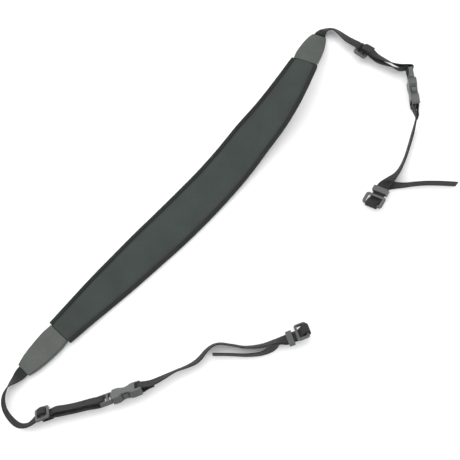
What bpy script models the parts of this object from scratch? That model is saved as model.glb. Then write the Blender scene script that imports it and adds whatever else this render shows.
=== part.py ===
"""Camera neck strap: a curved neoprene pad, leather end tabs, webbing, buckles and end loops.

The strap lies on a surface at z = 0. Tables are in millimetres and degrees, objects in metres.
"""

import math

import bmesh
import bpy
from mathutils import Matrix, Vector

MM = 0.001

# Driving dimensions, in millimetres
WEBBING_WIDTH = 12.0
WEBBING_THICKNESS = 1.2
CLEARANCE = 0.35
PAD_THICKNESS = 5.2
PAD_PINCHED_THICKNESS = 2.8
TONGUE_HALF_WIDTH = 9.6
TONGUE_LENGTH = 14.0
TAPE_OVERLAP = 3.8
GROOVE_WIDTH = 2.6
TAB_LENGTH = 49.0
TAB_MOUTH_GAP = 0.6
TAB_MOUTH_WIDTH = 25.5
TAB_TIP_WIDTH = 17.6
TAB_MOUTH_THICKNESS = 6.0
TAB_TIP_THICKNESS = 5.0
LEATHER_WALL = 1.3
TAB_WEBBING_DEPTH = 14.0
SLIDER_LENGTH = 14.0
SLIDER_WIDTH = 22.0
SLIDER_THICKNESS = 2.6
SLIDER_SLOT_WIDTH = 15.4
SLIDER_BAR = 2.2
END_LOOP_LENGTH = 12.5
END_LOOP_WIDTH = 22.0
END_LOOP_OPENING = 7.4
END_LOOP_OPENING_WIDTH = 17.0
END_LOOP_THICKNESS = 2.4
KEEPER_WIDTH = 16.4
KEEPER_LENGTH = 6.0
KEEPER_WALL = 1.0
KEEPER_DISTANCE = 12.8
BUCKLE_WIDTH = 18.0
BUCKLE_THICKNESS = 8.0
BUCKLE_END_BAR = 38.6
BAR_HALF_WIDTH = 1.3
BAR_HALF_THICKNESS = 1.0
BAR_LOOP_RADIUS = 2.7
LAYER_PITCH = WEBBING_THICKNESS + CLEARANCE
RETURN_GAP = 4.2
ORIGIN_SHIFT = Vector((-5.32, -10.99, -0.29)) * MM

# The strap's spine, lower mouth to upper mouth: place, roll and outer width of the bound pad
SPINE_COLUMNS = ("x", "y", "z", "roll", "width")
SPINE = (
    (-165.0, -103.2, 5.2, -8.0, 29.5),
    (-144.5, -82.3, 4.0, -3.0, 33.0),
    (-123.7, -61.7, 3.3, 0.0, 37.0),
    (-102.3, -41.1, 3.3, 0.0, 40.0),
    (-80.9, -20.1, 3.3, 0.0, 42.2),
    (-59.2, 0.8, 3.3, 0.0, 43.5),
    (-37.7, 22.6, 3.5, 0.0, 43.8),
    (-16.7, 44.7, 5.0, 0.0, 43.2),
    (3.4, 67.4, 9.0, 0.0, 42.6),
    (22.1, 90.4, 15.5, 0.0, 41.2),
    (41.0, 112.4, 23.0, -1.0, 38.4),
    (58.2, 136.4, 31.0, -4.0, 34.0),
    (74.5, 164.8, 31.2, -8.0, 28.0),
)

# Free stretches of webbing: centre of the strip and its roll (0 flat, 90 on edge)
FREE_COLUMNS = ("x", "y", "z", "roll")
PAD_LOWER_TO_SLIDER = (
    (-205.6, -147.6, 6.8, 42.0),
    (-212.4, -154.2, 7.3, 75.0),
    (-216.2, -164.0, 7.4, 88.0),
    (-215.0, -174.4, 7.4, 95.0),
    (-209.2, -183.6, 7.6, 102.0),
    (-200.5, -190.8, 8.0, 108.0),
    (-191.0, -190.6, 8.6, 114.0),
)
PAD_LOWER_OUT = (
    (-166.0, -176.2, 9.8, -60.0),
    (-157.0, -174.6, 10.0, -62.0),
    (-146.0, -172.4, 10.0, -62.0),
    (-135.4, -169.6, 10.0, -60.0),
)
PAD_UPPER_TO_SLIDER = (
    (99.6, 211.4, 6.8, -50.0),
    (107.0, 212.2, 8.0, -58.0),
    (114.8, 206.6, 9.0, -50.0),
    (121.6, 200.2, 9.6, -38.0),
)
PAD_UPPER_OUT = (
    (152.4, 176.6, 9.4, -44.0),
    (164.6, 170.6, 9.8, -62.0),
    (174.6, 166.6, 9.8, -80.0),
)
CAMERA_LOWER_OUT = (
    (-63.2, -145.6, 9.4, -68.0),
    (-52.0, -139.8, 8.6, -78.0),
    (-40.5, -135.4, 8.0, -74.0),
    (-30.8, -129.8, 7.4, -68.0),
    (-21.4, -118.8, 7.2, -74.0),
    (-12.0, -113.8, 7.2, -78.0),
    (1.0, -115.0, 7.2, -78.0),
    (15.0, -117.2, 7.2, -76.0),
    (31.0, -115.6, 7.2, -72.0),
    (44.0, -111.6, 7.6, -66.0),
)
CAMERA_LOWER_TAIL = (
    (43.0, -117.2, 7.4, -68.0),
    (31.0, -123.0, 7.2, -76.0),
    (16.0, -124.8, 7.1, -82.0),
    (0.0, -124.2, 7.0, -84.0),
    (-17.0, -124.0, 7.0, -84.0),
)
CAMERA_UPPER_OUT = (
    (185.3, 98.5, 7.4, 86.0),
    (181.2, 85.4, 7.3, 86.0),
    (175.8, 70.8, 7.2, 84.0),
    (169.0, 58.4, 7.2, 74.0),
    (160.6, 50.0, 7.4, 48.0),
)
CAMERA_UPPER_TAIL = (
    (158.4, 45.0, 6.2, 46.0),
    (165.4, 44.2, 6.9, 72.0),
    (175.0, 44.4, 7.0, 82.0),
    (186.0, 45.8, 7.0, 85.0),
    (198.0, 46.6, 7.0, 86.0),
    (212.0, 46.4, 7.0, 86.0),
    (227.6, 45.6, 7.0, 86.0),
)

FREE_STEP = 3.4
LOOP_STEP = 1.3


def vec(*values):
    return Vector(values)


def clear_scene():
    for item in list(bpy.data.objects):
        bpy.data.objects.remove(item, do_unlink=True)


def make_material(name, color, roughness):
    material = bpy.data.materials.new(name)
    material.use_nodes = True
    shader = material.node_tree.nodes["Principled BSDF"]
    shader.inputs["Base Color"].default_value = (*color, 1.0)
    shader.inputs["Roughness"].default_value = roughness
    shader.inputs["Metallic"].default_value = 0.0
    return material


def add_object(name, mesh, material):
    part = bpy.data.objects.new(name, mesh)
    bpy.context.scene.collection.objects.link(part)
    mesh.materials.clear()
    mesh.materials.append(material)
    return part


def finish_mesh(name, bm):
    bmesh.ops.recalc_face_normals(bm, faces=bm.faces)
    mesh = bpy.data.meshes.new(name)
    bm.to_mesh(mesh)
    bm.free()
    return mesh


def loft(name, rings, material):
    """Skin a list of rings, given in millimetres, and close both ends."""
    bm = bmesh.new()
    loops = [[bm.verts.new(point * MM) for point in ring] for ring in rings]
    count = len(loops[0])
    for first, second in zip(loops, loops[1:]):
        for i in range(count):
            j = (i + 1) % count
            bm.faces.new((first[i], first[j], second[j], second[i]))
    bm.faces.new(loops[0])
    bm.faces.new(loops[-1])
    return add_object(name, finish_mesh(name, bm), material)


def loft_sleeve(name, outer, inner, material):
    """Skin an outer and an inner list of rings into one open sleeve."""
    bm = bmesh.new()
    outside = [[bm.verts.new(point * MM) for point in ring] for ring in outer]
    inside = [[bm.verts.new(point * MM) for point in ring] for ring in inner]
    count = len(outside[0])
    for loops in (outside, inside):
        for first, second in zip(loops, loops[1:]):
            for i in range(count):
                j = (i + 1) % count
                bm.faces.new((first[i], first[j], second[j], second[i]))
    for end in (0, -1):
        for i in range(count):
            j = (i + 1) % count
            bm.faces.new((outside[end][i], outside[end][j], inside[end][j], inside[end][i]))
    return add_object(name, finish_mesh(name, bm), material)


def blend(a, b, c, d, t):
    """Catmull-Rom value between b and c."""
    return 0.5 * (2 * b + (c - a) * t + (2 * a - 5 * b + 4 * c - d) * t * t
                  + (3 * b - a - 3 * c + d) * t ** 3)


def across_from_roll(tangent, roll):
    left = vec(-tangent.y, tangent.x, 0.0).normalized()
    up = tangent.cross(left).normalized()
    angle = math.radians(roll)
    return left * math.cos(angle) + up * math.sin(angle)


def free_rows(table):
    """Rows of (place, across) for a free stretch, from its table."""
    places = [vec(*row[:3]) for row in table]
    rows = []
    for i, row in enumerate(table):
        ahead = places[min(i + 1, len(places) - 1)]
        behind = places[max(i - 1, 0)]
        rows.append((places[i], across_from_roll((ahead - behind).normalized(), row[3])))
    return rows


def frame(place, along, across):
    """Matrix, in millimetres, of a fitting: x along the strap, y across it, z off its face."""
    x = along.normalized()
    z = x.cross(across).normalized()
    y = z.cross(x)
    return Matrix((
        (x.x, y.x, z.x, place.x), (x.y, y.y, z.y, place.y), (x.z, y.z, z.z, place.z),
        (0.0, 0.0, 0.0, 1.0)))


def rolled_frame(place, heading, pitch, roll):
    h, p = math.radians(heading), math.radians(pitch)
    along = vec(math.cos(h) * math.cos(p), math.sin(h) * math.cos(p), math.sin(p))
    return frame(place, along, across_from_roll(along, roll))


def local_rows(matrix, profile, face=1):
    """Rows of (place, across) for a stretch drawn as (x, z) pairs inside a fitting; face -1 mirrors z."""
    across = matrix.to_3x3() @ vec(0.0, 1.0, 0.0)
    return [(matrix @ vec(x, 0.0, face * z), across.copy()) for x, z in profile]


def ribbon(name, stretches, material):
    """One strip of webbing through all stretches, each a list of rows and a step."""
    rows = []
    for stretch in stretches:
        rows.extend(stretch)
    fixed = [rows[0]]
    for place, across in rows[1:]:
        flip = across.dot(fixed[-1][1]) < 0
        fixed.append((place, -across if flip else across))
    smooth = []
    last = len(fixed) - 1
    for i in range(last):
        gap = (fixed[i + 1][0] - fixed[i][0]).length
        step = FREE_STEP if gap > 4.5 else LOOP_STEP * 1.6
        picks = [fixed[max(0, min(last, i + k))] for k in (-1, 0, 1, 2)]
        parts = max(1, round(gap / step))
        for k in range(parts):
            t = k / parts
            smooth.append(tuple(blend(*(p[n] for p in picks), t) for n in range(2)))
    smooth.append(fixed[-1])
    rings = []
    half_width, half_thick = WEBBING_WIDTH / 2, WEBBING_THICKNESS / 2
    for i, (place, across) in enumerate(smooth):
        ahead = smooth[min(i + 1, len(smooth) - 1)][0]
        behind = smooth[max(i - 1, 0)][0]
        tangent = (ahead - behind).normalized()
        side = (across - tangent * across.dot(tangent)).normalized()
        normal = tangent.cross(side).normalized()
        rings.append([place + side * a * half_width + normal * b * half_thick
                      for a, b in ((-1, -1), (1, -1), (1, 1), (-1, 1))])
    return loft(name, rings, material)


def bar_turn(radius, start, end, steps=6):
    """Points of a turn round a bar at the origin, from one angle to another in degrees."""
    points = []
    for i in range(steps + 1):
        angle = math.radians(start + (end - start) * i / steps)
        points.append((radius * math.cos(angle), radius * math.sin(angle)))
    return points


def shifted(points, dx):
    return [(x + dx, z) for x, z in points]


def outline_prism(name, points, half_height, edge, material):
    """An outline in millimetres, extruded to both sides of its plane, with eased rims."""
    bm = bmesh.new()
    face = bm.faces.new([bm.verts.new(vec(x, y, -half_height) * MM) for x, y in points])
    made = bmesh.ops.extrude_face_region(bm, geom=[face])
    top = [item for item in made["geom"] if isinstance(item, bmesh.types.BMVert)]
    bmesh.ops.translate(bm, verts=top, vec=vec(0.0, 0.0, 2 * half_height * MM))
    bmesh.ops.recalc_face_normals(bm, faces=bm.faces)
    if edge > 0:
        rims = [e for e in bm.edges if abs(e.verts[0].co.z - e.verts[1].co.z) < 1e-7]
        bmesh.ops.bevel(bm, geom=rims, offset=edge * MM, segments=1, affect="EDGES")
    return add_object(name, finish_mesh(name, bm), material)


def rounded_box(length, width, radius, segments=3):
    """Outline points of a rectangle with round corners, centred on the origin."""
    points = []
    corners = ((1, 1, 0), (-1, 1, 90), (-1, -1, 180), (1, -1, 270))
    for sx, sy, start in corners:
        for i in range(segments + 1):
            angle = math.radians(start + 90 * i / segments)
            points.append((sx * (length / 2 - radius) + radius * math.cos(angle),
                           sy * (width / 2 - radius) + radius * math.sin(angle)))
    return points


def cut_box(part, low, high):
    """Cut a box, given by its lowest and highest corners in millimetres, out of a part."""
    cutter_mesh = bpy.data.meshes.new(part.name + "_cutter")
    bm = bmesh.new()
    bmesh.ops.create_cube(bm, size=1.0)
    size = [(b - a) * MM for a, b in zip(low, high)]
    middle = [(b + a) / 2 * MM for a, b in zip(low, high)]
    bmesh.ops.scale(bm, vec=size, verts=bm.verts)
    bmesh.ops.translate(bm, vec=middle, verts=bm.verts)
    bm.to_mesh(cutter_mesh)
    bm.free()
    cutter = bpy.data.objects.new(part.name + "_cutter", cutter_mesh)
    bpy.context.scene.collection.objects.link(cutter)
    cutter.hide_render = True
    cutter.display_type = "WIRE"
    cutter.parent = part
    modifier = part.modifiers.new("slot", "BOOLEAN")
    modifier.operation = "DIFFERENCE"
    modifier.object = cutter


def place(part, matrix):
    scaled = matrix.copy()
    scaled.translation = matrix.translation * MM
    part.matrix_world = scaled


def spine_rows():
    """Stations along the bound pad: place, across, normal, width and direction."""
    table = []
    for row in SPINE:
        table.append((vec(*row[:3]), row[3], row[4]))
    dense = []
    last = len(table) - 1
    for i in range(last):
        picks = [table[max(0, min(last, i + k))] for k in (-1, 0, 1, 2)]
        parts = 4
        for k in range(parts):
            t = k / parts
            dense.append(tuple(blend(*(p[n] for p in picks), t) for n in range(3)))
    dense.append(table[-1])
    stations = []
    for i, (spot, roll, width) in enumerate(dense):
        ahead = dense[min(i + 1, len(dense) - 1)][0]
        behind = dense[max(i - 1, 0)][0]
        tangent = (ahead - behind).normalized()
        across = across_from_roll(tangent, roll)
        stations.append((spot, across, tangent.cross(across), width, tangent))
    return stations


def section(station, outline):
    spot, across, normal = station[:3]
    return [spot + across * y + normal * z for y, z in outline]


def pad_outline(half_width):
    """Pad section: crowned face, groove and pinched edge, on both faces."""
    edge = half_width - 1.3
    groove = half_width - TAPE_OVERLAP - 0.2
    shoulder = groove - GROOVE_WIDTH
    full, thin = PAD_THICKNESS / 2, PAD_PINCHED_THICKNESS / 2
    upper = [(-edge, thin), (-groove, thin), (-shoulder, full - 0.4), (-shoulder / 2, full),
             (shoulder / 2, full), (shoulder, full - 0.4), (groove, thin), (edge, thin)]
    return [(y, z) for y, z in upper] + [(y, -z) for y, z in reversed(upper)]


def tongue_outline():
    thin = PAD_PINCHED_THICKNESS / 2
    count = 8
    upper = [(-TONGUE_HALF_WIDTH + 2 * TONGUE_HALF_WIDTH * i / (count - 1), thin)
             for i in range(count)]
    return upper + [(y, -z) for y, z in reversed(upper)]


def moved(station, distance):
    spot, across, normal, width, outward = station
    return (spot + outward * distance, across, normal, width, outward)


def tab_station(station, heading, pitch, roll, side):
    """The pad's last station, turned to its tab; side is -1 where outward is against the spine."""
    turned = rolled_frame(station[0], heading, pitch, roll).to_3x3()
    along, across, normal = (turned.col[i].copy() for i in range(3))
    return (station[0], across * side, normal, station[3], along)


def build_pad(stations, material):
    first, final = stations[0], stations[-1]
    rings = [section(moved(first, TONGUE_LENGTH), tongue_outline()),
             section(moved(first, 0.3), tongue_outline())]
    rings.extend(section(s, pad_outline(s[3] / 2)) for s in stations)
    rings.append(section(moved(final, 0.3), tongue_outline()))
    rings.append(section(moved(final, TONGUE_LENGTH), tongue_outline()))
    return loft("neoprene_pad", rings, material)


def tape_outline(half_width, side):
    inner = PAD_PINCHED_THICKNESS / 2 + CLEARANCE
    lip = half_width - TAPE_OVERLAP
    outer = 2.9
    points = [(lip, inner), (lip, outer - 0.4), (lip + 1.0, outer), (half_width - 1.0, outer - 0.2),
              (half_width, inner), (half_width, -inner), (half_width - 1.0, -outer + 0.2),
              (lip + 1.0, -outer), (lip, -outer + 0.4), (lip, -inner),
              (half_width - 1.3 + CLEARANCE, -inner), (half_width - 1.3 + CLEARANCE, inner)]
    return [(side * y, z) for y, z in points]


def build_binding(name, side, stations, material):
    rings = [section(s, tape_outline(s[3] / 2, side)) for s in stations]
    return loft(name, rings, material)


TAB_STATIONS = 7


def tab_width(t):
    """Outer width of a tab: it bulges a little past its mouth, then narrows to its tip."""
    return TAB_MOUTH_WIDTH + (TAB_TIP_WIDTH - TAB_MOUTH_WIDTH) * t + 2.6 * math.sin(math.pi * t)


def box_ring(half_width, half_height, ease):
    return [(-half_width + ease, half_height), (half_width - ease, half_height),
            (half_width, half_height - ease), (half_width, -half_height + ease),
            (half_width - ease, -half_height), (-half_width + ease, -half_height),
            (-half_width, -half_height + ease), (-half_width, half_height - ease)]


def build_tab(name, station, material):
    """A sleeve of leather from the pad's mouth outwards."""
    outer, inner = [], []
    for i in range(TAB_STATIONS):
        t = i / (TAB_STATIONS - 1)
        spot = moved(station, TAB_MOUTH_GAP + (TAB_LENGTH - TAB_MOUTH_GAP) * t)
        thick = TAB_MOUTH_THICKNESS + (TAB_TIP_THICKNESS - TAB_MOUTH_THICKNESS) * t
        width = tab_width(t)
        hollow = PAD_PINCHED_THICKNESS / 2 + CLEARANCE
        narrow = WEBBING_THICKNESS / 2 + 3 * CLEARANCE
        height = hollow + (narrow - hollow) * max(0.0, (t - 0.4) / 0.6)
        ends = 1.2 if i in (0, TAB_STATIONS - 1) else 0.0
        outer.append(section(spot, box_ring(width / 2 - ends, thick / 2, 0.8)))
        inner.append(section(spot, box_ring(width / 2 - LEATHER_WALL - CLEARANCE, height, 0.2)))
    return loft_sleeve(name, outer, inner, material)


def tab_webbing_rows(station):
    """Webbing inside a tab and just out of it, seen from the pad outwards."""
    rows = []
    for d in (TAB_LENGTH - TAB_WEBBING_DEPTH, TAB_LENGTH - 4.0, TAB_LENGTH + 1.2,
              TAB_LENGTH + 4.2):
        spot = moved(station, d)
        rows.append((spot[0], spot[1]))
    return rows


def build_slider(name, matrix, material):
    part = outline_prism(name, rounded_box(SLIDER_LENGTH, SLIDER_WIDTH, 2.6),
                         SLIDER_THICKNESS / 2, 0.5, material)
    half = SLIDER_SLOT_WIDTH / 2
    rail = 2.2
    for side in (-1, 1):
        a, b = side * SLIDER_BAR / 2, side * (SLIDER_LENGTH / 2 - rail)
        cut_box(part, (min(a, b), -half, -3.0), (max(a, b), half, 3.0))
    place(part, matrix)


def slider_run(lead_in, lead_out):
    """The running strap through a slider: under its centre bar, outside its fixed loop."""
    bar = SLIDER_THICKNESS / 2 + CLEARANCE + WEBBING_THICKNESS / 2
    low = -(bar + LAYER_PITCH)
    turn = 3.7
    middle = [(-4.7, bar + 0.1), (-turn, 1.2), (-turn, -0.9), (-2.7, low + 0.5), (-1.0, low),
              (1.0, low), (2.7, low + 0.5), (turn, -0.9), (turn, 1.2), (4.7, bar + 0.1)]
    return lead_in + middle + lead_out


def slider_loop():
    """The fixed end: round the centre bar and back over itself."""
    bar = SLIDER_THICKNESS / 2 + CLEARANCE + WEBBING_THICKNESS / 2
    return [(2.1, 1.7), (2.15, -0.9), (1.5, -bar + 0.1), (0.0, -bar - 0.1), (-1.5, -bar + 0.1),
            (-2.15, -0.9), (-2.1, 1.7)]


def build_end_loop(name, matrix, material):
    """A rectangular loop with round corners and eased rims."""
    half, ease = END_LOOP_THICKNESS / 2, 0.6
    outer, inner = [], []
    for z, inset in ((-half, ease), (ease - half, 0.0), (half - ease, 0.0), (half, ease)):
        outer.append([vec(x, y, z) for x, y in
                      rounded_box(END_LOOP_LENGTH - 2 * inset, END_LOOP_WIDTH - 2 * inset, 2.6)])
        inner.append([vec(x, y, z) for x, y in
                      rounded_box(END_LOOP_OPENING, END_LOOP_OPENING_WIDTH, 1.0)])
    place(loft_sleeve(name, outer, inner, material), matrix)


def end_loop_in():
    """Into an end loop: under the near bar, up through the opening, over the far bar and round."""
    face = END_LOOP_THICKNESS / 2 + 2 * CLEARANCE + WEBBING_THICKNESS / 2
    end = END_LOOP_LENGTH / 2
    return [(-5.4, -face), (-3.4, -face + 0.1), (-1.3, -1.2), (0.0, 0.0), (1.3, 1.2),
            (3.4, face - 0.1), (4.6, face), (end, face - 0.1), (end + 1.1, face - 1.1),
            (end + 1.3, 0.0), (end + 1.1, -face + 1.1), (end, -face + 0.1),
            (3.2, -face - 0.3), (0.8, -face - 1.2), (-2.4, -face - LAYER_PITCH - 0.1),
            (-5.0, -face - LAYER_PITCH - 0.1)]


def build_keeper(name, matrix, material):
    """A short sleeve round both layers of webbing, with eased mouths."""
    half_length, half_width = KEEPER_LENGTH / 2, KEEPER_WIDTH / 2
    half_height = LAYER_PITCH + 1.5 * CLEARANCE + KEEPER_WALL
    ease = 0.4
    outer, inner = [], []
    for x, inset in ((-half_length, ease), (ease - half_length, 0.0),
                     (half_length - ease, 0.0), (half_length, ease)):
        outer.append([vec(x, y, z) for y, z in
                      box_ring(half_width - inset, half_height - inset, 0.6)])
        inner.append([vec(x, y, z) for y, z in
                      box_ring(half_width - KEEPER_WALL, half_height - KEEPER_WALL, 0.3)])
    place(loft_sleeve(name, outer, inner, material), matrix)


def build_prong(name, matrix, material):
    half = BUCKLE_WIDTH / 2 - 0.6
    arm_in, arm_out = 4.2, 6.6
    outline = [(-1.4, -half + 1.2), (-0.4, -half), (10.4, -half), (10.4, -6.6), (12.6, -arm_out),
               (20.6, -arm_out), (21.8, -7.8), (25.2, -7.8), (27.4, -6.2), (27.4, -5.2),
               (24.0, -arm_in), (13.6, -arm_in), (13.6, -1.2), (22.0, -1.2), (22.0, 1.2),
               (13.6, 1.2), (13.6, arm_in), (24.0, arm_in), (27.4, 5.2), (27.4, 6.2),
               (25.2, 7.8), (21.8, 7.8), (20.6, arm_out), (12.6, arm_out), (10.4, 6.6),
               (10.4, half), (-0.4, half), (-1.4, half - 1.2)]
    part = outline_prism(name, outline, 2.2, 0.0, material)
    slot = half - 1.5
    cut_box(part, (BAR_HALF_WIDTH, -slot, -4.0), (5.2, slot, 4.0))
    cut_box(part, (6.9, -slot, -4.0), (9.6, slot, 4.0))
    for side in (-1, 1):
        low, high = sorted((side * BAR_HALF_THICKNESS, side * 4.0))
        cut_box(part, (-3.0, 0.15 - slot, low), (BAR_HALF_WIDTH + 0.2, slot - 0.15, high))
    place(part, matrix)


def socket_outline():
    """Outline of the socket: straight sides, a round scoop for the fingers, then the end loop."""
    half = BUCKLE_WIDTH / 2
    side = [(11.0, half - 0.6), (13.5, half), (18.0, half)]
    steps = 6
    for i in range(1, steps):
        t = i / steps
        side.append((18.0 + 12.0 * t, half - 3.6 * math.sin(math.pi * t)))
    side += [(30.0, half - 0.2), (32.0, half), (38.2, half - 0.4), (40.0, half - 1.2)]
    return [(x, -y) for x, y in side] + [(x, y) for x, y in reversed(side)]


def build_socket(name, matrix, material):
    part = outline_prism(name, socket_outline(), BUCKLE_THICKNESS / 2, 0.8, material)
    cut_box(part, (8.0, -7.05, -2.6), (29.5, 7.05, 2.6))
    end = BUCKLE_END_BAR
    slot = 6.5
    cut_box(part, (end - 4.7, -slot, -6.0), (end - BAR_HALF_WIDTH, slot, 6.0))
    for side in (-1, 1):
        low, high = sorted((side * BAR_HALF_THICKNESS, side * 6.0))
        cut_box(part, (end - BAR_HALF_WIDTH - 0.2, 0.15 - slot, low), (end + 4.0, slot - 0.15, high))
    place(part, matrix)


def buckle_pad_turn():
    """Pad webbing round the prong's end bar, coming from and going back towards the slider."""
    radius = BAR_LOOP_RADIUS
    return [(-4.0, -radius)] + bar_turn(radius, -90, 90) + [(-4.0, radius)]


def buckle_camera_turn():
    """Camera webbing: its sewn end, the turn round the socket's end bar, and the way out."""
    radius = BAR_LOOP_RADIUS
    end = BUCKLE_END_BAR
    half = LAYER_PITCH / 2
    turn = shifted([(-x, z) for x, z in bar_turn(radius, 90, -90)], end)
    sewn = [(end + 13.6, half), (end + 8.0, half + 0.3), (end + 3.5, 2.3)]
    out = [(end + 3.5, -2.3), (end + 8.0, -half - 0.3), (end + 13.6, -half)]
    return sewn + turn + out


def keeper_layer(matrix, layer, forward):
    reach = KEEPER_LENGTH / 2 + 2.0
    height = layer * LAYER_PITCH / 2
    profile = [(x, height) for x in (-reach, -reach / 2, reach / 2, reach)]
    return local_rows(matrix, profile if forward else profile[::-1])


class End:
    """The fittings of one end of the strap; face is the side of them that the webbing starts on."""

    def __init__(self, name, face, station, slider, buckle, loop, loop_turn):
        self.name = name
        self.face = face
        self.station = station
        self.slider = slider
        self.buckle = buckle
        self.loop = loop
        self.loop_turn = Matrix.Rotation(math.radians(loop_turn), 4, "Z")
        face_gap = END_LOOP_THICKNESS / 2 + 2 * CLEARANCE + WEBBING_THICKNESS / 2
        offset = vec(-KEEPER_DISTANCE, 0.0, -face_gap - LAYER_PITCH / 2)
        self.keeper = loop @ Matrix.Translation(offset)


def build_end(end, tables, materials):
    leather, webbing, plastic = materials
    to_slider, out, camera_out, tail = tables
    build_tab("end_tab_" + end.name, end.station, leather)
    build_slider("pad_slider_" + end.name, end.slider, plastic)
    build_prong("buckle_prong_" + end.name, end.buckle, plastic)
    build_socket("buckle_socket_" + end.name, end.buckle, plastic)
    build_keeper("webbing_keeper_" + end.name, end.keeper, plastic)
    build_end_loop("end_loop_" + end.name, end.loop @ end.loop_turn, plastic)

    flat = SLIDER_THICKNESS / 2 + CLEARANCE + WEBBING_THICKNESS / 2
    lead_in = [(-8.4, flat + 0.3)]
    lead_out = [(8.4, flat + 0.3)]
    return_in = [(8.4, flat + LAYER_PITCH + 0.9), (4.4, flat + LAYER_PITCH + 0.4)]
    sewn = [(-0.9, flat + 2 * LAYER_PITCH), (2.0, flat + 2 * LAYER_PITCH + 0.4),
            (9.0, flat + 2 * LAYER_PITCH + 1.0)]
    step = vec(0.0, RETURN_GAP * end.face, 0.0)
    back = [(spot + step, across) for spot, across in free_rows(out)[::-1]]
    ribbon("pad_webbing_" + end.name, [
        tab_webbing_rows(end.station),
        free_rows(to_slider),
        local_rows(end.slider, slider_run(lead_in, lead_out), end.face),
        free_rows(out),
        local_rows(end.buckle, buckle_pad_turn(), end.face),
        back,
        local_rows(end.slider, return_in + slider_loop() + sewn, end.face),
    ], webbing)
    ribbon("camera_webbing_" + end.name, [
        local_rows(end.buckle, buckle_camera_turn(), end.face),
        free_rows(camera_out),
        keeper_layer(end.keeper, 1, True),
        local_rows(end.loop, end_loop_in()),
        keeper_layer(end.keeper, -1, False),
        free_rows(tail),
    ], webbing)


def main():
    clear_scene()
    neoprene = make_material("neoprene", (0.032, 0.039, 0.036), 0.9)
    tape = make_material("binding_tape", (0.012, 0.013, 0.012), 0.85)
    leather = make_material("tab_leather", (0.052, 0.060, 0.053), 0.6)
    webbing = make_material("webbing", (0.014, 0.013, 0.013), 0.8)
    plastic = make_material("moulded_plastic", (0.055, 0.060, 0.057), 0.45)

    stations = spine_rows()
    stations[0] = tab_station(stations[0], 227.4, 0.8, 8.0, -1)
    stations[-1] = tab_station(stations[-1], 65.0, -30.4, -8.0, 1)
    build_pad(stations, neoprene)
    build_binding("edge_binding_outer", 1, stations, tape)
    build_binding("edge_binding_inner", -1, stations, tape)

    lower = End(
        "lower", -1, stations[0],
        rolled_frame(vec(-178.0, -180.0, 10.4), 25.0, 0.0, -58.0),
        rolled_frame(vec(-122.0, -168.6, 10.4), 19.5, 0.0, -60.0),
        rolled_frame(vec(69.0, -102.3, 12.6), 21.0, 8.0, -42.0), 0.0)
    upper = End(
        "upper", 1, stations[-1],
        rolled_frame(vec(137.2, 187.2, 9.8), -36.0, 0.0, -34.0),
        rolled_frame(vec(184.6, 165.0, 9.8), -85.0, 5.0, -86.0),
        rolled_frame(vec(143.4, 28.4, 9.5), 240.0, 0.0, 24.0), 0.0)

    materials = (leather, webbing, plastic)
    build_end(lower, (PAD_LOWER_TO_SLIDER, PAD_LOWER_OUT, CAMERA_LOWER_OUT, CAMERA_LOWER_TAIL), materials)
    build_end(upper, (PAD_UPPER_TO_SLIDER, PAD_UPPER_OUT, CAMERA_UPPER_OUT, CAMERA_UPPER_TAIL), materials)
    for item in bpy.data.objects:
        if item.parent is None:
            item.location += ORIGIN_SHIFT


main()
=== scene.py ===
# %% [markdown]
# A camera neck strap lies in a loose curve on a pale table: a padded shoulder section,
# leather tabs, narrow webbing, and small moulded fittings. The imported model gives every
# piece its place, and this lesson gives each one its surface.

# %% Load the model
import math

import bmesh
import bpy
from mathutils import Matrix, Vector


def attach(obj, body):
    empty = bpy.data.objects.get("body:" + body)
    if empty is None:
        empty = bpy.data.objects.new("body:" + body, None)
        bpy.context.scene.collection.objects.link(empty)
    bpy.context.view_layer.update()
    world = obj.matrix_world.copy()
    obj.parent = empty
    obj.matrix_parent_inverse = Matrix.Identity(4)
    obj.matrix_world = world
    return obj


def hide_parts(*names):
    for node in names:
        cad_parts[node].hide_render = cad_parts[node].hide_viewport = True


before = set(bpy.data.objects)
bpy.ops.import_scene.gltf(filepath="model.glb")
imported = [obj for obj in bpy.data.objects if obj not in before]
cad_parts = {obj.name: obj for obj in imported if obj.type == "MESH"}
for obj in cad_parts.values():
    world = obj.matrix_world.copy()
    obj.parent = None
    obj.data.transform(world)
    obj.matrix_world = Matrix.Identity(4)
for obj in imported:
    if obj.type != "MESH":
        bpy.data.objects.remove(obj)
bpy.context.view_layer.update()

print("pieces in the model:", len(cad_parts))

# %% [markdown]
# The strap is seen almost from straight above. The camera could be placed by eye, but a
# slope, a distance and a focal length say it exactly: tipped 12 degrees from straight
# down, 0.9 m away, it sees about 0.46 m of the table, which is the whole strap.

# %% Place the camera
SLOPE = math.radians(12.0)
VIEW_DISTANCE = 0.9
VIEW_CENTRE = Vector((-0.00532, -0.01099, -0.00029))
SENSOR_WIDTH = 36.0
PICTURE_SIDE = 460
FOCAL_LENGTH_IN_PIXELS = 900

camera_data = bpy.data.cameras.new("strap_camera")
camera_data.sensor_width = SENSOR_WIDTH
camera_data.lens = SENSOR_WIDTH * FOCAL_LENGTH_IN_PIXELS / PICTURE_SIDE
camera = bpy.data.objects.new("strap_camera", camera_data)
bpy.context.scene.collection.objects.link(camera)
camera.location = VIEW_CENTRE + Vector((0, -math.sin(SLOPE), math.cos(SLOPE))) * VIEW_DISTANCE
camera.rotation_euler = (SLOPE, 0, 0)
bpy.context.scene.camera = camera
print("camera at", tuple(round(v, 3) for v in camera.location))

# %% [markdown]
# A dark, matt object needs wide, soft light, so that its edges show without hard shadows.
# Small lamps would draw sharp outlines on the table, so these are area lamps: a large one
# above, one at each side, and an even white world round them.

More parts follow.
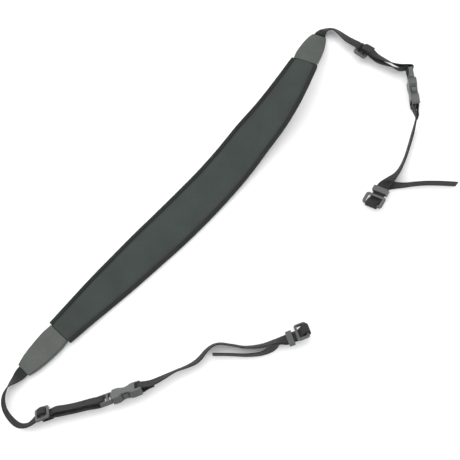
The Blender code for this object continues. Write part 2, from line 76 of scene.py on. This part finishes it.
# %% Hang the lamps
LAMPS = (
    # name, place in metres, power in watts, side in metres
    ("lamp_above", (-0.3, 0.5, 1.6), 22.0, 1.6),
    ("lamp_left", (-1.3, 0.2, 0.9), 7.0, 1.0),
    ("lamp_right", (1.2, -0.5, 1.0), 6.0, 1.0),
)
WORLD_STRENGTH = 0.85

for name, spot, power, side in LAMPS:
    lamp_data = bpy.data.lights.new(name, "AREA")
    lamp_data.energy = power
    lamp_data.size = side
    lamp = bpy.data.objects.new(name, lamp_data)
    lamp.location = spot
    lamp.rotation_euler = (-Vector(spot)).to_track_quat("-Z", "Y").to_euler()
    bpy.context.scene.collection.objects.link(lamp)

world = bpy.data.worlds.new("studio")
world.use_nodes = True
backdrop = world.node_tree.nodes["Background"]
backdrop.inputs["Color"].default_value = (1.0, 1.0, 1.0, 1.0)
backdrop.inputs["Strength"].default_value = WORLD_STRENGTH
bpy.context.scene.world = world
bpy.context.scene.view_settings.view_transform = "Standard"
print("lamps:", len(LAMPS))

# %% [markdown]
# The strap lies on a plain white table.

# %% Lay the table
TABLE_HALF_SIDE = 3.0
TABLE_WHITE = 0.9
TABLE_ROUGHNESS = 0.9

table_mesh = bpy.data.meshes.new("table_top")
bm = bmesh.new()
bmesh.ops.create_grid(bm, x_segments=4, y_segments=4, size=TABLE_HALF_SIDE)
bm.to_mesh(table_mesh)
bm.free()
table = bpy.data.objects.new("table_top", table_mesh)
bpy.context.scene.collection.objects.link(table)
table_paint = bpy.data.materials.new("table_paint")
table_paint.use_nodes = True
table_shader = table_paint.node_tree.nodes["Principled BSDF"]
table_shader.inputs["Base Color"].default_value = (TABLE_WHITE, TABLE_WHITE, TABLE_WHITE, 1.0)
table_shader.inputs["Roughness"].default_value = TABLE_ROUGHNESS
table_mesh.materials.append(table_paint)
print("the table is", 2 * TABLE_HALF_SIDE, "m wide")

# %% [markdown]
# Knit, tape, leather and plastic all have a fine relief and small changes of shade. Each
# could have nodes of its own, but one group makes both from noise at two sizes, so every
# material only sets its own values.

# %% Build the shared surface group
NOISE_DETAIL = 3.0
SHADE_FROM, SHADE_TO = 0.12, 0.4


def add_sockets(group, direction, sockets):
    for name, kind in sockets:
        group.interface.new_socket(name=name, in_out=direction, socket_type=kind)


def surface_group():
    group = bpy.data.node_groups.new("surface variation", "ShaderNodeTree")
    add_sockets(group, "INPUT", (
        ("Dark", "NodeSocketColor"), ("Light", "NodeSocketColor"),
        ("Fine Scale", "NodeSocketFloat"), ("Broad Scale", "NodeSocketFloat")))
    add_sockets(group, "OUTPUT", (
        ("Color", "NodeSocketColor"), ("Height", "NodeSocketFloat"),
        ("Roughness Shift", "NodeSocketFloat")))
    nodes, links = group.nodes, group.links
    source = nodes.new("NodeGroupInput")
    result = nodes.new("NodeGroupOutput")
    place = nodes.new("ShaderNodeTexCoord")
    fine = nodes.new("ShaderNodeTexNoise")
    broad = nodes.new("ShaderNodeTexNoise")
    for noise, scale in ((fine, "Fine Scale"), (broad, "Broad Scale")):
        links.new(place.outputs["Object"], noise.inputs["Vector"])
        links.new(source.outputs[scale], noise.inputs["Scale"])
        noise.inputs["Detail"].default_value = NOISE_DETAIL
    both = nodes.new("ShaderNodeMath")
    both.operation = "MULTIPLY"
    links.new(fine.outputs["Fac"], both.inputs[0])
    links.new(broad.outputs["Fac"], both.inputs[1])
    spread = nodes.new("ShaderNodeMapRange")
    spread.inputs["From Min"].default_value = SHADE_FROM
    spread.inputs["From Max"].default_value = SHADE_TO
    links.new(both.outputs[0], spread.inputs["Value"])
    mix = nodes.new("ShaderNodeMix")
    mix.data_type = "RGBA"
    links.new(spread.outputs["Result"], mix.inputs["Factor"])
    links.new(source.outputs["Dark"], mix.inputs["A"])
    links.new(source.outputs["Light"], mix.inputs["B"])
    links.new(mix.outputs["Result"], result.inputs["Color"])
    links.new(fine.outputs["Fac"], result.inputs["Height"])
    links.new(broad.outputs["Fac"], result.inputs["Roughness Shift"])
    return group


SURFACE = surface_group()
print("sockets of the surface group:", len(SURFACE.interface.items_tree))

# %% [markdown]
# Webbing and binding tape are woven from thick yarn, so ribs cross them. Modelled yarn
# would take millions of faces. Fine waves along the three axes, added up, stand for its
# crossings whichever way the strap turns.

# %% Build the weave group
WAVE_DISTORTION = 0.6


def weave_group():
    group = bpy.data.node_groups.new("yarn weave", "ShaderNodeTree")
    add_sockets(group, "INPUT", (("Rib Scale", "NodeSocketFloat"),))
    add_sockets(group, "OUTPUT", (("Height", "NodeSocketFloat"),))
    nodes, links = group.nodes, group.links
    source = nodes.new("NodeGroupInput")
    result = nodes.new("NodeGroupOutput")
    place = nodes.new("ShaderNodeTexCoord")
    total = None
    for direction in ("X", "Y", "Z"):
        wave = nodes.new("ShaderNodeTexWave")
        wave.bands_direction = direction
        wave.inputs["Distortion"].default_value = WAVE_DISTORTION
        links.new(place.outputs["Object"], wave.inputs["Vector"])
        links.new(source.outputs["Rib Scale"], wave.inputs["Scale"])
        if total is None:
            total = wave.outputs["Fac"]
            continue
        add = nodes.new("ShaderNodeMath")
        add.operation = "ADD"
        links.new(total, add.inputs[0])
        links.new(wave.outputs["Fac"], add.inputs[1])
        total = add.outputs[0]
    links.new(total, result.inputs["Height"])
    return group


WEAVE = weave_group()
print("sockets of the weave group:", len(WEAVE.interface.items_tree))

# %% [markdown]
# Each finish differs in shade, shine and grain: matt knit, dull tape, soft leather,
# ribbed webbing and satin plastic. A table gives the values, and one function joins the
# groups to a shader, so that all five are made alike and are easy to compare.

# %% Make the finishes
ROUGHNESS_SPREAD = 0.08
RELIEF_DEPTH = 0.0003

FINISH_VALUES = {
    "neoprene": dict(
        title="knitted neoprene", dark=(0.026, 0.032, 0.029), light=(0.038, 0.046, 0.042),
        roughness=0.85, fine=1400.0, broad=40.0, bump=0.5, ribs=0.0, specular=0.25),
    "binding_tape": dict(
        title="folded binding tape", dark=(0.006, 0.007, 0.006), light=(0.016, 0.018, 0.017),
        roughness=0.75, fine=1500.0, broad=60.0, bump=0.5, ribs=700.0, specular=0.35),
    "tab_leather": dict(
        title="dark grey leather", dark=(0.040, 0.047, 0.041), light=(0.060, 0.068, 0.060),
        roughness=0.55, fine=900.0, broad=70.0, bump=0.4, ribs=0.0, specular=0.35),
    "webbing": dict(
        title="ribbed webbing", dark=(0.008, 0.008, 0.008), light=(0.022, 0.021, 0.020),
        roughness=0.7, fine=1600.0, broad=90.0, bump=0.6, ribs=620.0, specular=0.35),
    "moulded_plastic": dict(
        title="satin moulded plastic", dark=(0.045, 0.050, 0.047), light=(0.062, 0.068, 0.064),
        roughness=0.42, fine=1800.0, broad=50.0, bump=0.15, ribs=0.0, specular=0.5),
}


def make_finish(values):
    finish = bpy.data.materials.new(values["title"])
    finish.use_nodes = True
    nodes, links = finish.node_tree.nodes, finish.node_tree.links
    shader = nodes["Principled BSDF"]
    shader.inputs["Metallic"].default_value = 0.0
    shader.inputs["Specular IOR Level"].default_value = values["specular"]
    surface = nodes.new("ShaderNodeGroup")
    surface.node_tree = SURFACE
    surface.inputs["Dark"].default_value = (*values["dark"], 1.0)
    surface.inputs["Light"].default_value = (*values["light"], 1.0)
    surface.inputs["Fine Scale"].default_value = values["fine"]
    surface.inputs["Broad Scale"].default_value = values["broad"]
    links.new(surface.outputs["Color"], shader.inputs["Base Color"])
    shine = nodes.new("ShaderNodeMapRange")
    shine.inputs["To Min"].default_value = values["roughness"] - ROUGHNESS_SPREAD
    shine.inputs["To Max"].default_value = values["roughness"] + ROUGHNESS_SPREAD
    links.new(surface.outputs["Roughness Shift"], shine.inputs["Value"])
    links.new(shine.outputs["Result"], shader.inputs["Roughness"])
    relief = nodes.new("ShaderNodeBump")
    relief.inputs["Strength"].default_value = values["bump"]
    relief.inputs["Distance"].default_value = RELIEF_DEPTH
    height = surface.outputs["Height"]
    if values["ribs"]:
        weave = nodes.new("ShaderNodeGroup")
        weave.node_tree = WEAVE
        weave.inputs["Rib Scale"].default_value = values["ribs"]
        height = weave.outputs["Height"]
    links.new(height, relief.inputs["Height"])
    links.new(relief.outputs["Normal"], shader.inputs["Normal"])
    return finish


FINISHES = {slot: make_finish(values) for slot, values in FINISH_VALUES.items()}
print("finishes:", ", ".join(FINISHES))

# %% [markdown]
# Foam, leather and webbing have soft edges, where the plain solids have sharp ones. The
# shapes could be drawn again, but a copy of each solid already lies in the right place:
# its triangles are joined to four-sided faces, its edges eased, then it is subdivided.

# %% Write the helper that softens a solid
WELD_DISTANCE = 2e-6
JOIN_ANGLE = math.radians(35)
JOIN_SHAPE_ANGLE = math.radians(175)
SHARP_ANGLE = math.radians(40)
EASE_SEGMENTS = 2


def soft_copy(node, title, slot_name, ease, levels):
    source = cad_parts[node]
    mesh = source.data.copy()
    bm = bmesh.new()
    bm.from_mesh(mesh)
    bmesh.ops.remove_doubles(bm, verts=bm.verts, dist=WELD_DISTANCE)
    bmesh.ops.join_triangles(bm, faces=bm.faces, angle_face_threshold=JOIN_ANGLE,
                             angle_shape_threshold=JOIN_SHAPE_ANGLE)
    for face in bm.faces:
        face.smooth = True
    bm.to_mesh(mesh)
    bm.free()
    piece = bpy.data.objects.new(title, mesh)
    piece.matrix_world = source.matrix_world
    bpy.context.scene.collection.objects.link(piece)
    mesh.materials.clear()
    mesh.materials.append(FINISHES[slot_name])
    eased = piece.modifiers.new("eased edges", "BEVEL")
    eased.width = ease
    eased.segments = EASE_SEGMENTS
    eased.limit_method = "ANGLE"
    eased.angle_limit = SHARP_ANGLE
    smooth = piece.modifiers.new("smoothed", "SUBSURF")
    smooth.levels = levels
    smooth.render_levels = levels
    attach(piece, "root")
    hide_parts(node)
    return piece


print("ready to soften the solids")

# %% [markdown]
# The pad is foamed rubber under a knitted face, bound with tape along both long edges.
# It is the largest surface, so it gets one more level of subdivision than the rest.

# %% Soften the pad and its binding
ENDS = ("lower", "upper")

pad = soft_copy("neoprene_pad", "foam_pad", "neoprene", 0.0004, 2)
for side in ("outer", "inner"):
    soft_copy("edge_binding_" + side, "tape_" + side, "binding_tape", 0.0003, 1)
print("pad and binding are in place")

# %% [markdown]
# A leather tab joins the pad to the webbing at each end. The webbing then runs through a
# slider to the buckle, and from the buckle to the end loop. Webbing is thin, so its edges
# are eased by only a quarter of a millimetre.

# %% Soften the tabs and the webbing
for end in ENDS:
    soft_copy("end_tab_" + end, "leather_tab_" + end, "tab_leather", 0.0004, 1)
    soft_copy("pad_webbing_" + end, "strap_to_buckle_" + end, "webbing", 0.00025, 1)
    soft_copy("camera_webbing_" + end, "strap_to_loop_" + end, "webbing", 0.00025, 1)
print("tabs and webbing are in place")

# %% [markdown]
# Sliders, buckles, keepers and end loops are moulded, and the solids have their exact
# shapes. They only need the satin plastic in place of the plain material they came with.

# %% Finish the moulded fittings
FITTINGS = ("pad_slider_", "buckle_prong_", "buckle_socket_", "webbing_keeper_", "end_loop_")

for fitting in FITTINGS:
    for end in ENDS:
        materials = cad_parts[fitting + end].data.materials
        materials.clear()
        materials.append(FINISHES["moulded_plastic"])
print("fittings finished:", len(FITTINGS) * len(ENDS))
